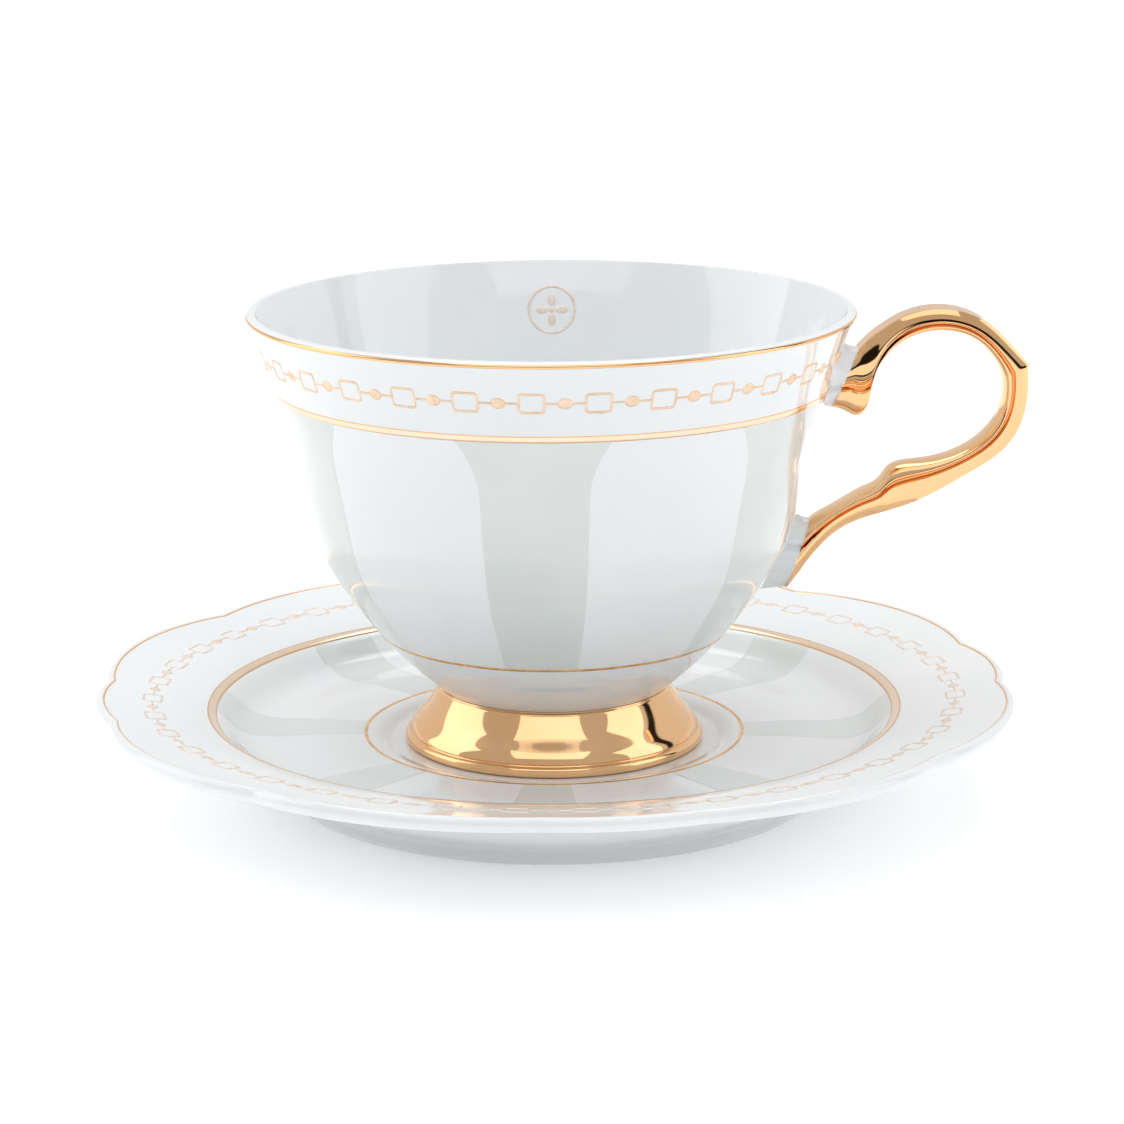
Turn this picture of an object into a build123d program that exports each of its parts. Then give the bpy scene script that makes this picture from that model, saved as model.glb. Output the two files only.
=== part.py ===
from build123d import *
import os
from math import cos, radians, sin, pi

# A gilded china teacup standing on its scalloped saucer.
# Millimetres, Z up. The origin is on the common axis of cup and saucer, on the table.
# +X points at the handle. Angles are measured about Z, counter-clockwise from +X.

# ---------------------------------------------------------------- driving dimensions
RIM_RADIUS = 50.0          # the cup's lip
CUP_TOP = 80.5             # height of the lip above the table
WALL = 2.3                 # thickness of the bowl's wall
LIP_WALL = 1.7             # thickness just under the lip
BOWL_FLOOR = 22.2          # height of the inside of the bowl on the axis
NECK_RADIUS = 19.2         # where the bowl meets its foot
NECK_HEIGHT = 17.4
FOOT_RADIUS = 24.9         # the foot's base
FOOT_REST = 7.8            # height of the saucer's well, where the foot stands
FOOT_HOLLOW = 15.2         # height of the hollow under the foot

SAUCER_SMALL_LOBE = 76.2   # radius to the middle of a small lobe of the saucer's edge
SAUCER_LARGE_LOBE = 77.3   # radius to the middle of a large lobe
SAUCER_NOTCH = 75.1        # radius to the dips between the lobes
SMALL_LOBE_ANGLE = 19.0    # each quarter of the edge has one small lobe and two large ones
LOBE_TURN = 8.0            # direction of the first small lobe
SAUCER_RIM_HEIGHT = 18.0   # top of the saucer's edge
RIM_EDGE_BOTTOM = 15.6     # height of the underside at the edge
SAUCER_UNDER_WELL = 4.2    # height of the underside inside the foot ring
SAUCER_REACH = 80.0        # radius that the saucer is turned to, before its edge is cut to shape
FOOT_RING_RADIUS = 45.0    # outer radius of the ring that the saucer stands on
FOOT_RING_WIDTH = 3.4

HANDLE_WIDTH = 7.0         # the handle's width across its plane
COLLAR_DEPTH = 6.0         # how far a collar's block starts inside the bowl's wall, before it is trimmed
COLLAR_WIDTH = HANDLE_WIDTH + 0.6

SKIN = 0.1                 # thickness of gilding and transfers
SKIN_GAP = 0.03            # clearance between a skin and the glaze under it
CUT = 40.0                 # height of the upright blocks that trim a piece to its outline
MARGIN = 5.0               # how far a trimming block or section reaches beyond the piece
PANEL_STEPS = 14           # points down each edge of a cup panel

RIM_LINE = (78.9, 79.7)            # heights of the gold line on the outside of the lip
UPPER_BAND = (67.4, 68.5)          # heights of the wide gold band
LOWER_LINE = (26.8, 27.3)          # heights of the thin gold line
CUP_CHAIN_HEIGHT = 73.9            # middle of the chain border
CUP_CHAIN_COUNT = 29
CUP_STRIPE_COUNT = 6
CUP_STRIPE_ANGLE = 23.0            # width of a panel over most of its height
CUP_STRIPE_TOP_ANGLE = 31.0        # and where it spreads out under the band
STRIPE_SPREAD = 9.0                # height over which a panel spreads out
CUP_DECOR_TURN = -93.6             # direction of the middle of the cup's front panel
MOTIF_HEIGHT = 72.4                # middle of the small ornament inside the bowl
MOTIF_RADIUS = 4.3

SAUCER_INNER_RING = (31.2, 31.8)   # radii of the thin ring round the well
SAUCER_WIDE_BAND = (56.2, 57.8)    # radii of the wide ring at the top of the wall
SAUCER_CHAIN_RADIUS = 66.8
SAUCER_CHAIN_COUNT = 40
SAUCER_CHAIN_TURN = 4.2
SAUCER_STRIPE_COUNT = 8
SAUCER_STRIPE_ANGLE = 13.5
SAUCER_DECOR_TURN = -92.0
RIM_LINE_INSET = (0.7, 1.6)        # the saucer's gold edge line, in from the edge

LINK_LENGTH = 4.3
LINK_HEIGHT = 3.4
LINK_LINE = 0.42                   # width of the drawn line
BEAD_LENGTH = 2.4
BEAD_HEIGHT = 1.8
JOINING_LINE = 0.34

# ---------------------------------------------------------------- profile curves
# Each curve is drawn as (radius, height) points.
BOWL_OUTLINE = [
    (NECK_RADIUS, NECK_HEIGHT),
    (25.2, 22.9),
    (29.0, 27.1),
    (33.5, 33.0),
    (38.4, 41.0),
    (41.1, 50.5),
    (43.6, 61.3),
    (45.5, 68.0),
    (47.4, 74.2),
    (RIM_RADIUS - SKIN_GAP - SKIN, CUP_TOP - 0.8),
]
SAUCER_TOP = [
    (27.0, FOOT_REST),
    (28.6, 8.4),
    (30.4, 8.95),
    (33.0, 9.05),
    (42.0, 9.1),
    (49.0, 9.2),
    (52.6, 10.5),
    (56.0, 13.4),
    (58.4, 14.4),
    (66.8, 16.1),
    (72.0, 16.9),
    (SAUCER_REACH, SAUCER_RIM_HEIGHT + 0.5),
]
SAUCER_UNDERSIDE = [
    (FOOT_RING_RADIUS + 0.3, 2.6),
    (52.0, 6.4),
    (60.0, 11.2),
    (68.0, 13.9),
    (SAUCER_REACH, RIM_EDGE_BOTTOM + 0.4),
]
bowl_wall = Spline(*BOWL_OUTLINE, tangents=[(1, 0.85), (0.55, 1)])
saucer_surface = Spline(*SAUCER_TOP, tangents=[(1, 0), (1, 0.2)])


def find_on(curve, value, along):
    """The place on a curve, from 0 to 1, where its radius or height reaches a value."""
    low, high = 0.0, 1.0
    for _ in range(30):
        middle = (low + high) / 2
        point = curve @ middle
        reached = point.X if along == "radius" else point.Y
        if reached < value:
            low = middle
        else:
            high = middle
    return low


def lifted(curve, place, lift):
    """A point of a curve, moved along its normal: to the right of the curve's direction is positive."""
    point = curve @ place
    tangent = curve % place
    return (point.X + tangent.Y * lift, point.Y - tangent.X * lift)


def skin_points(curve, start, end, along, lift, count=9):
    """Points beside a curve, from one radius or height to another."""
    first = find_on(curve, start, along)
    last = find_on(curve, end, along)
    return [lifted(curve, first + (last - first) * i / (count - 1), lift) for i in range(count)]


def skin_section(curve, start, end, along, side, count=9):
    """The outline of a thin skin that lies over a curve, on one side of it, +1 or -1."""
    near = skin_points(curve, start, end, along, side * SKIN_GAP, count)
    far = skin_points(curve, start, end, along, side * (SKIN_GAP + SKIN), count)
    with BuildLine() as outline:
        Spline(*near)
        Line(near[-1], far[-1])
        Spline(*reversed(far))
        Line(far[0], near[0])
    return outline.edges()


def rim_radius(angle, inset):
    """Radius of the saucer's lobed edge in one direction."""
    small = SMALL_LOBE_ANGLE
    large = (90.0 - small) / 2
    turn = (angle - LOBE_TURN + small / 2) % 90.0
    if turn < small:
        rise = SAUCER_SMALL_LOBE - SAUCER_NOTCH
        across = turn / small
    else:
        rise = SAUCER_LARGE_LOBE - SAUCER_NOTCH
        across = ((turn - small) % large) / large
    return SAUCER_NOTCH + rise * sin(pi * across) ** 0.8 - inset


def rim_outline(inset):
    """The saucer's lobed edge: a point at each dip, and more over each lobe."""
    small = SMALL_LOBE_ANGLE
    large = (90.0 - small) / 2
    angles = []
    for quarter in range(4):
        start = LOBE_TURN - small / 2 + 90.0 * quarter
        angles += [start + small * step for step in (0.0, 0.28, 0.5, 0.72)]
        for lobe in range(2):
            from_angle = start + small + large * lobe
            angles += [from_angle + large * step for step in (0.0, 0.16, 0.34, 0.5, 0.66, 0.84)]
    points = []
    for angle in angles:
        radius = rim_radius(angle, inset)
        points.append((radius * cos(radians(angle)), radius * sin(radians(angle))))
    with BuildLine() as outline:
        Spline(*points, periodic=True)
    return outline.edges()


def finish(part, name):
    """Names a finished piece and writes it to its own file."""
    part.label = name
    export_step(part, f"parts/{name}.step")


# ================================================================ the cup
# ---------------------------------------------------------------- bowl
inner_wall = [
    lifted(bowl_wall, find_on(bowl_wall, height, "height"), -thickness)
    for height, thickness in ((30.0, 3.2), (35.0, 2.7), (44.0, WALL), (56.0, WALL), (67.0, WALL))
]
inner_lip = lifted(bowl_wall, 1.0, -LIP_WALL)
inner_surface = Spline((0, BOWL_FLOOR), (15.0, 23.3), *inner_wall, inner_lip, tangents=[(1, 0), (0.55, 1)])

with BuildPart() as cup_bowl:
    with BuildSketch(Plane.XZ):
        with BuildLine():
            add(bowl_wall)
            ThreePointArc(
                bowl_wall @ 1,
                (RIM_RADIUS - LIP_WALL / 2 - SKIN, CUP_TOP),
                inner_surface @ 1,
            )
            add(inner_surface)
            Polyline(inner_surface @ 0, (0, NECK_HEIGHT), bowl_wall @ 0)
        make_face()
    revolve(axis=Axis.Z)
finish(cup_bowl.part, "cup_bowl")

# ---------------------------------------------------------------- foot
with BuildPart() as cup_foot:
    with BuildSketch(Plane.XZ):
        with BuildLine():
            Polyline((0, NECK_HEIGHT), (NECK_RADIUS, NECK_HEIGHT), (19.5, 17.0))
            Spline((19.5, 17.0), (20.5, 15.1), (21.6, 13.5), (23.2, 11.7), (24.1, 10.3), (24.35, 9.4))
            ThreePointArc((24.35, 9.4), (FOOT_RADIUS, 8.6), (24.2, FOOT_REST))
            Polyline((24.2, FOOT_REST), (22.0, FOOT_REST), (21.2, 8.6))
            Spline((21.2, 8.6), (19.0, 11.6), (17.0, 14.2), (12.0, FOOT_HOLLOW),
                   tangents=[(-0.6, 1), (-1, 0.1)])
            Polyline((12.0, FOOT_HOLLOW), (0, FOOT_HOLLOW), (0, NECK_HEIGHT))
        make_face()
    revolve(axis=Axis.Z)
finish(cup_foot.part, "cup_foot")

# ---------------------------------------------------------------- handle
# The handle's outline in its own plane, as (distance from the axis, height).
UPPER_ROOT = [(50.0, 73.6), (48.2, 70.0), (47.4, 67.8), (45.7, 65.8), (45.7, 63.8)]
LOWER_ROOT = [(38.1, 33.7), (39.3, 36.8), (40.7, 41.0), (42.4, 45.0)]
OUTER_TOP = [UPPER_ROOT[0], (53.3, 76.7), (57.8, 79.3), (63.5, 80.3), (69.8, 78.6), (77.5, 71.7)]
OUTER_SIDE = [(77.9, 70.2), (77.6, 64.6), (75.3, 58.6), (68.0, 52.7), (60.2, 48.4), (52.0, 45.8),
              (47.5, 43.9), (42.7, 39.3), (40.1, 35.6), (38.9, 33.5)]
SPUR = [UPPER_ROOT[-1], (47.6, 63.3), (49.9, 62.3)]
SPUR_TIP = (51.0, 62.9)
INNER_LOOP = [(51.7, 65.1), (52.3, 68.3), (55.3, 73.2), (63.1, 76.4), (70.3, 74.1), (73.6, 68.0),
              (72.7, 62.1), (67.1, 56.9), (60.3, 54.9)]
KNEE = [(60.3, 54.9), (57.1, 54.5), (55.2, 53.6), (53.6, 51.5)]
LOWER_TOP = [KNEE[-1], (50.7, 49.9), (46.5, 47.4), LOWER_ROOT[-1]]

with BuildPart() as handle:
    with BuildSketch(Plane.XZ):
        with BuildLine():
            Spline(*OUTER_TOP, tangents=[(0.7, 1), (0.6, -1)])
            Line(OUTER_TOP[-1], OUTER_SIDE[0])
            Spline(*OUTER_SIDE, tangents=[(0.02, -1), (-0.6, -1)])
            Line(OUTER_SIDE[-1], LOWER_ROOT[0])
            Spline(*LOWER_ROOT)
            Spline(*reversed(LOWER_TOP))
            Spline(*reversed(KNEE))
            Spline(*reversed(INNER_LOOP))
            Line(INNER_LOOP[0], SPUR_TIP)
            ThreePointArc(SPUR_TIP, (50.5, 62.3), SPUR[-1])
            Spline(*reversed(SPUR))
            Spline(*reversed(UPPER_ROOT))
        make_face()
    extrude(amount=HANDLE_WIDTH / 2, both=True)
finish(handle.part, "handle")

# ---------------------------------------------------------------- white collars of the handle


def collar(root, top, bottom):
    """Draws a collar between the bowl's wall and a root of the handle."""
    with BuildPart() as block:
        with BuildSketch(Plane.XZ):
            with BuildLine():
                Spline(*root)
                Polyline(root[-1], (root[-1][0] - COLLAR_DEPTH, root[-1][1]),
                         (root[0][0] - COLLAR_DEPTH, root[0][1]), root[0])
            make_face()
        extrude(amount=COLLAR_WIDTH / 2, both=True)
        with BuildSketch(Plane.XZ):
            with BuildLine():
                outer = skin_points(bowl_wall, bottom, top, "height", 0.0, 16)
                Spline(*outer)
                Polyline(outer[-1], (0, outer[-1][1]), (0, outer[0][1]), outer[0])
            make_face()
        revolve(axis=Axis.Z, mode=Mode.SUBTRACT)
    return block.part


handle_upper_collar = collar(UPPER_ROOT, 79.0, 58.0)
finish(handle_upper_collar, "handle_upper_collar")
handle_lower_collar = collar(LOWER_ROOT, 50.0, 28.0)
finish(handle_lower_collar, "handle_lower_collar")

# ---------------------------------------------------------------- gilding and transfers on the cup
OUTSIDE = 1
INSIDE = -1


def cup_ring(heights):
    """A gold line round the outside of the bowl, between two heights."""
    section = skin_section(bowl_wall, *heights, "height", OUTSIDE)
    with BuildPart() as ring:
        with BuildSketch(Plane.XZ):
            make_face(section)
        revolve(axis=Axis.Z)
    return ring.part


def around(piece, count, first):
    """Copies of a piece, evenly spaced about Z."""
    with BuildPart() as group:
        with PolarLocations(0, count, start_angle=first):
            add(piece)
    return group.part


def link_outline(length, height):
    """Draws an open square link, about the sketch's own origin."""
    Rectangle(length, height)
    Rectangle(length - 2 * LINK_LINE, height - 2 * LINK_LINE, mode=Mode.SUBTRACT)


def bead_outline(length, height):
    """Draws a bead on the thin line that joins two links."""
    Ellipse(BEAD_LENGTH / 2, BEAD_HEIGHT / 2)
    Rectangle(length, height)


def clear_of_handle(piece):
    """A decoration of the cup, cut away where the handle's upper collar covers the wall."""
    root_height = UPPER_ROOT[0][1] - UPPER_ROOT[-1][1] + 2
    with BuildPart() as cut:
        add(piece)
        with BuildSketch(Plane.YZ.offset(RIM_RADIUS / 2)):
            with Locations((0, (UPPER_ROOT[0][1] + UPPER_ROOT[-1][1]) / 2)):
                Rectangle(COLLAR_WIDTH + 4 * SKIN_GAP, root_height)
        extrude(amount=RIM_RADIUS, mode=Mode.SUBTRACT)
    return cut.part


finish(cup_ring(RIM_LINE), "rim_gilding")
finish(clear_of_handle(cup_ring(UPPER_BAND)), "cup_upper_band")
finish(cup_ring(LOWER_LINE), "cup_lower_line")

chain_low = CUP_CHAIN_HEIGHT - LINK_HEIGHT
chain_high = CUP_CHAIN_HEIGHT + LINK_HEIGHT
cup_pitch = 360.0 / CUP_CHAIN_COUNT
chain_radius = (bowl_wall @ find_on(bowl_wall, CUP_CHAIN_HEIGHT, "height")).X
cup_gap = 2 * pi * chain_radius / CUP_CHAIN_COUNT - LINK_LENGTH

cup_chain_section = skin_section(bowl_wall, chain_low, chain_high, "height", OUTSIDE)

with BuildPart() as cup_link:
    with BuildSketch(Plane.XZ):
        make_face(cup_chain_section)
    revolve(axis=Axis.Z)
    with BuildSketch(Plane.YZ.offset(RIM_RADIUS / 2)):
        with Locations((0, CUP_CHAIN_HEIGHT)):
            link_outline(LINK_LENGTH, LINK_HEIGHT)
    extrude(amount=RIM_RADIUS, mode=Mode.INTERSECT)
finish(clear_of_handle(around(cup_link.part, CUP_CHAIN_COUNT, CUP_DECOR_TURN)), "cup_chain_links")

with BuildPart() as cup_bead:
    with BuildSketch(Plane.XZ):
        make_face(cup_chain_section)
    revolve(axis=Axis.Z)
    with BuildSketch(Plane.YZ.offset(RIM_RADIUS / 2)):
        with Locations((0, CUP_CHAIN_HEIGHT)):
            bead_outline(cup_gap - 2 * SKIN_GAP, JOINING_LINE)
    extrude(amount=RIM_RADIUS, mode=Mode.INTERSECT)
cup_beads = around(cup_bead.part, CUP_CHAIN_COUNT, CUP_DECOR_TURN + cup_pitch / 2)
finish(clear_of_handle(cup_beads), "cup_chain_beads")

# A panel is as wide as its angle over most of its height, and spreads out under the gold band.
panel_low = LOWER_LINE[1] + SKIN_GAP
panel_high = UPPER_BAND[0] - SKIN_GAP
spread_low = panel_high - STRIPE_SPREAD


def panel_edge(height):
    """Half the width of a cup panel, seen along its own direction."""
    radius = (bowl_wall @ find_on(bowl_wall, height, "height")).X
    spread = max(0.0, (height - spread_low) / STRIPE_SPREAD) ** 2
    angle = CUP_STRIPE_ANGLE + (CUP_STRIPE_TOP_ANGLE - CUP_STRIPE_ANGLE) * spread
    return radius * sin(radians(angle / 2))


panel_heights = [panel_low + (panel_high - panel_low) * i / PANEL_STEPS for i in range(PANEL_STEPS + 1)]
panel_section = skin_section(bowl_wall, panel_low, panel_high, "height", OUTSIDE, 17)
with BuildPart() as cup_panel:
    with BuildSketch(Plane.XZ):
        make_face(panel_section)
    revolve(axis=Axis.Z)
    with BuildSketch(Plane.YZ):
        with BuildLine():
            right = [(panel_edge(height), height) for height in panel_heights]
            left = [(-y, z) for y, z in reversed(right)]
            Spline(*right)
            Line(right[-1], left[0])
            Spline(*left)
            Line(left[-1], right[0])
        make_face()
    extrude(amount=RIM_RADIUS + MARGIN, mode=Mode.INTERSECT)
finish(around(cup_panel.part, CUP_STRIPE_COUNT, CUP_DECOR_TURN), "cup_stripes")

# A ring with a four-petalled flower, inside the bowl on the far side.
motif_section = skin_section(inner_surface, MOTIF_HEIGHT - MARGIN, MOTIF_HEIGHT + MARGIN, "height", INSIDE, 13)
with BuildPart() as cup_inner_motif:
    with BuildSketch(Plane.XZ):
        make_face(motif_section)
    revolve(axis=Axis.Z)
    with BuildSketch(Plane.XZ):
        with Locations((0, MOTIF_HEIGHT)):
            Circle(MOTIF_RADIUS)
            Circle(MOTIF_RADIUS - 0.5, mode=Mode.SUBTRACT)
            with PolarLocations(1.75, 4):
                Ellipse(1.35, 0.7)
            Circle(0.55)
    extrude(amount=-(RIM_RADIUS + MARGIN), mode=Mode.INTERSECT)
finish(cup_inner_motif.part, "cup_inner_motif")

# ================================================================ the saucer
saucer_edge = rim_outline(0.0)
with BuildPart() as saucer:
    with BuildSketch(Plane.XZ):
        with BuildLine():
            Line((0, FOOT_REST), SAUCER_TOP[0])
            add(saucer_surface)
            Line(saucer_surface @ 1, SAUCER_UNDERSIDE[-1])
            Spline(*reversed(SAUCER_UNDERSIDE))
            inner_ring = FOOT_RING_RADIUS - FOOT_RING_WIDTH
            Polyline(SAUCER_UNDERSIDE[0], (FOOT_RING_RADIUS, 0.5), (FOOT_RING_RADIUS - 0.5, 0),
                     (inner_ring + 0.5, 0), (inner_ring, 0.5), (inner_ring - 0.6, SAUCER_UNDER_WELL),
                     (0, SAUCER_UNDER_WELL), (0, FOOT_REST))
        make_face()
    revolve(axis=Axis.Z)
    with BuildSketch(Plane.XY):
        make_face(saucer_edge)
    extrude(amount=CUT, mode=Mode.INTERSECT)
finish(saucer.part, "saucer")

# ---------------------------------------------------------------- gilding and transfers on the saucer


def saucer_ring(radii):
    """A gold line on the saucer's upper surface, between two radii."""
    section = skin_section(saucer_surface, *radii, "radius", INSIDE)
    with BuildPart() as ring:
        with BuildSketch(Plane.XZ):
            make_face(section)
        revolve(axis=Axis.Z)
    return ring.part


finish(saucer_ring(SAUCER_INNER_RING), "saucer_inner_ring")
finish(saucer_ring(SAUCER_WIDE_BAND), "saucer_wide_band")

flange_section = skin_section(saucer_surface, SAUCER_NOTCH - MARGIN, SAUCER_REACH - 1, "radius", INSIDE)
line_outside = rim_outline(RIM_LINE_INSET[0])
line_inside = rim_outline(RIM_LINE_INSET[1])
with BuildPart() as saucer_rim_gilding:
    with BuildSketch(Plane.XZ):
        make_face(flange_section)
    revolve(axis=Axis.Z)
    with BuildSketch(Plane.XY):
        make_face(line_outside)
    extrude(amount=CUT, mode=Mode.INTERSECT)
    with BuildSketch(Plane.XY):
        make_face(line_inside)
    extrude(amount=CUT, mode=Mode.SUBTRACT)
finish(saucer_rim_gilding.part, "saucer_rim_gilding")

saucer_pitch = 360.0 / SAUCER_CHAIN_COUNT
saucer_gap = 2 * pi * SAUCER_CHAIN_RADIUS / SAUCER_CHAIN_COUNT - LINK_LENGTH
saucer_chain_section = skin_section(
    saucer_surface, SAUCER_CHAIN_RADIUS - LINK_HEIGHT, SAUCER_CHAIN_RADIUS + LINK_HEIGHT, "radius", INSIDE
)

with BuildPart() as saucer_link:
    with BuildSketch(Plane.XZ):
        make_face(saucer_chain_section)
    revolve(axis=Axis.Z)
    with BuildSketch(Plane.XY):
        with Locations(Location((SAUCER_CHAIN_RADIUS, 0), 90)):
            link_outline(LINK_LENGTH, LINK_HEIGHT)
    extrude(amount=CUT, mode=Mode.INTERSECT)
finish(around(saucer_link.part, SAUCER_CHAIN_COUNT, SAUCER_CHAIN_TURN), "saucer_chain_links")

with BuildPart() as saucer_bead:
    with BuildSketch(Plane.XZ):
        make_face(saucer_chain_section)
    revolve(axis=Axis.Z)
    with BuildSketch(Plane.XY):
        with Locations(Location((SAUCER_CHAIN_RADIUS, 0), 90)):
            bead_outline(saucer_gap - 2 * SKIN_GAP, JOINING_LINE)
    extrude(amount=CUT, mode=Mode.INTERSECT)
finish(around(saucer_bead.part, SAUCER_CHAIN_COUNT, SAUCER_CHAIN_TURN + saucer_pitch / 2), "saucer_chain_beads")

stripe_section = skin_section(
    saucer_surface, SAUCER_INNER_RING[1] + SKIN_GAP, SAUCER_WIDE_BAND[0] - SKIN_GAP, "radius", INSIDE, 25
)
with BuildPart() as saucer_panel:
    with BuildSketch(Plane.XZ):
        make_face(stripe_section)
    revolve(axis=Axis.Z)
    with BuildSketch(Plane.XY):
        with BuildLine():
            half = radians(SAUCER_STRIPE_ANGLE / 2)
            far_x = SAUCER_REACH * cos(half)
            far_y = SAUCER_REACH * sin(half)
            Polyline((0, 0), (far_x, -far_y), (far_x, far_y), (0, 0))
        make_face()
    extrude(amount=CUT, mode=Mode.INTERSECT)
finish(around(saucer_panel.part, SAUCER_STRIPE_COUNT, SAUCER_DECOR_TURN), "saucer_stripes")
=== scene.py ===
from math import cos, pi, radians, sin

import bmesh
import bpy
import numpy as np
from mathutils import Matrix, Vector


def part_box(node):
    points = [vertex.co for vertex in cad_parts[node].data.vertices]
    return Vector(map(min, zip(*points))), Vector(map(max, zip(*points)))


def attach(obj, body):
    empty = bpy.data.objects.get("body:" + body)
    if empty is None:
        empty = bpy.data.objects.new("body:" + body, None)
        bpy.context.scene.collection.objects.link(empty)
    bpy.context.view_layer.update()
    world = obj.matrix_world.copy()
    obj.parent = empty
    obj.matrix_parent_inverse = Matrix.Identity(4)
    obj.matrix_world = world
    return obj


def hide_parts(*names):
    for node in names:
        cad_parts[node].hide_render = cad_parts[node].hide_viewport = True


# The looks of a gilded china teacup on its scalloped saucer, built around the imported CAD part.
# Shapes are worked out in millimetres about the common axis of cup and saucer, then scaled to metres.

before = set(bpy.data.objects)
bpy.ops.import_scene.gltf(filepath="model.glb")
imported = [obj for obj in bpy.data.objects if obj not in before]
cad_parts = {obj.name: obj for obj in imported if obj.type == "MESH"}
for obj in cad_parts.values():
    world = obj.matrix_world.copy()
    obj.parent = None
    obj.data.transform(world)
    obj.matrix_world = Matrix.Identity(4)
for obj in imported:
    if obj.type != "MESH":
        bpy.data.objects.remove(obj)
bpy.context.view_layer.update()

MM = 0.001
TURN_STEPS = 288           # faces round a turned piece
SKIN = 0.08                # how far gilding and transfers stand proud of the glaze
GLAZE_SKIN = 0.04          # and how far the tinted panels do
SINK = -0.03               # how far their undersides lie in it

# ---------------------------------------------------------------- sizes taken from the frame


def reach(node):
    """Lowest and highest corner of a CAD node, in millimetres."""
    low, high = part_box(node)
    return np.array(low) / MM, np.array(high) / MM


bowl_low, bowl_high = reach("cup_bowl")
foot_low, foot_high = reach("cup_foot")
RIM_RADIUS = bowl_high[1]
CUP_TOP = bowl_high[2]
NECK_HEIGHT = bowl_low[2]
NECK_RADIUS = 19.2         # where the foot meets the bowl
FOOT_REST = foot_low[2]
FOOT_RADIUS = foot_high[1]
HANDLE_HALF_WIDTH = reach("handle")[1][1]


# ---------------------------------------------------------------- curves
def smooth(points, steps, start=None, end=None):
    """A smooth line through points, with as many steps between each two; start and end are directions."""
    points = np.array(points, float)
    spans = np.linalg.norm(np.diff(points, axis=0), axis=1)
    count = len(points)
    matrix = np.zeros((count, count))
    values = np.zeros_like(points)
    for i in range(1, count - 1):
        before, after = spans[i - 1], spans[i]
        matrix[i, i - 1:i + 2] = after, 2 * (before + after), before
        values[i] = 3 * after * (points[i] - points[i - 1]) / before
        values[i] += 3 * before * (points[i + 1] - points[i]) / after
    for row, other, span, step, direction in (
        (0, 1, spans[0], points[1] - points[0], start),
        (-1, -2, spans[-1], points[-1] - points[-2], end),
    ):
        if direction is None:
            matrix[row, row] = 2
            matrix[row, other] = 1
            values[row] = 3 * step / span
        else:
            matrix[row, row] = 1
            values[row] = np.array(direction) / np.linalg.norm(direction)
    slopes = np.linalg.solve(matrix, values)
    t = np.arange(steps)[:, None] / steps
    line = []
    for i in range(count - 1):
        line.append(
            (2 * t**3 - 3 * t**2 + 1) * points[i]
            + (t**3 - 2 * t**2 + t) * spans[i] * slopes[i]
            + (3 * t**2 - 2 * t**3) * points[i + 1]
            + (t**3 - t**2) * spans[i] * slopes[i + 1]
        )
    return np.concatenate([*line, points[-1:]])


def cornered(points, steps, corners):
    """A line like smooth(), which turns sharply at some of its points."""
    stops = [0, *corners, len(points) - 1]
    runs = [smooth(points[a:b + 1], steps) for a, b in zip(stops, stops[1:])]
    return np.concatenate([runs[0]] + [run[1:] for run in runs[1:]])


def surface_of(profile, axis, side):
    """A turned surface: points at an angle in degrees, by radius (axis 0) or height (axis 1), lifted off."""
    tangent = np.gradient(profile, axis=0)
    tangent /= np.linalg.norm(tangent, axis=1)[:, None]
    normal = side * np.stack([tangent[:, 1], -tangent[:, 0]], axis=1)
    known = profile[:, axis]

    def at(angle, value, lift):
        angle, value, lift = np.broadcast_arrays(np.radians(angle), value, lift)
        radius = np.interp(value, known, profile[:, 0]) + lift * np.interp(value, known, normal[:, 0])
        height = np.interp(value, known, profile[:, 1]) + lift * np.interp(value, known, normal[:, 1])
        return np.stack([radius * np.cos(angle), radius * np.sin(angle), height], axis=-1)

    return at


# ---------------------------------------------------------------- meshes
def grid(points, wrap_rows=False, wrap_columns=False):
    """Vertices and faces of a net of points, joined up round its rows or columns if asked."""
    rows, columns = points.shape[:2]
    ids = np.arange(rows * columns).reshape(rows, columns)
    if wrap_rows:
        ids = np.concatenate([ids, ids[:1]])
    if wrap_columns:
        ids = np.concatenate([ids, ids[:, :1]], axis=1)
    faces = np.stack([ids[:-1, :-1], ids[:-1, 1:], ids[1:, 1:], ids[1:, :-1]], axis=-1)
    return points.reshape(-1, 3), faces.reshape(-1, 4)


def turned(profile, closed=False):
    """A profile of (radius, height) points turned about the axis."""
    angles = np.linspace(0, 2 * pi, TURN_STEPS, endpoint=False)
    radius = profile[:, :1]
    height = profile[:, 1:] + 0 * angles
    points = np.stack([radius * np.cos(angles), radius * np.sin(angles), height], axis=-1)
    return grid(points, closed, True)


def make(name, nets, body, node, finish, sharp=50):
    """Makes one piece from its nets, which rides on a body and stands for a CAD node."""
    vertices, faces, count = [], [], 0
    for points, net in nets:
        vertices.append(points)
        faces.append(net + count)
        count += len(points)
    mesh = bpy.data.meshes.new(name)
    mesh.from_pydata((np.concatenate(vertices) * MM).tolist(), [], np.concatenate(faces).tolist())
    work = bmesh.new()
    work.from_mesh(mesh)
    bmesh.ops.remove_doubles(work, verts=work.verts, dist=0.0004 * MM)
    bmesh.ops.dissolve_degenerate(work, edges=work.edges, dist=0.0002 * MM)
    bmesh.ops.recalc_face_normals(work, faces=work.faces)
    for face in work.faces:
        face.smooth = True
    for edge in work.edges:
        edge.smooth = edge.calc_face_angle(0.0) < radians(sharp)
    work.to_mesh(mesh)
    work.free()
    piece = bpy.data.objects.new(name, mesh)
    bpy.context.scene.collection.objects.link(piece)
    mesh.materials.append(finish)
    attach(piece, body)
    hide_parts(node)
    return piece


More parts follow.
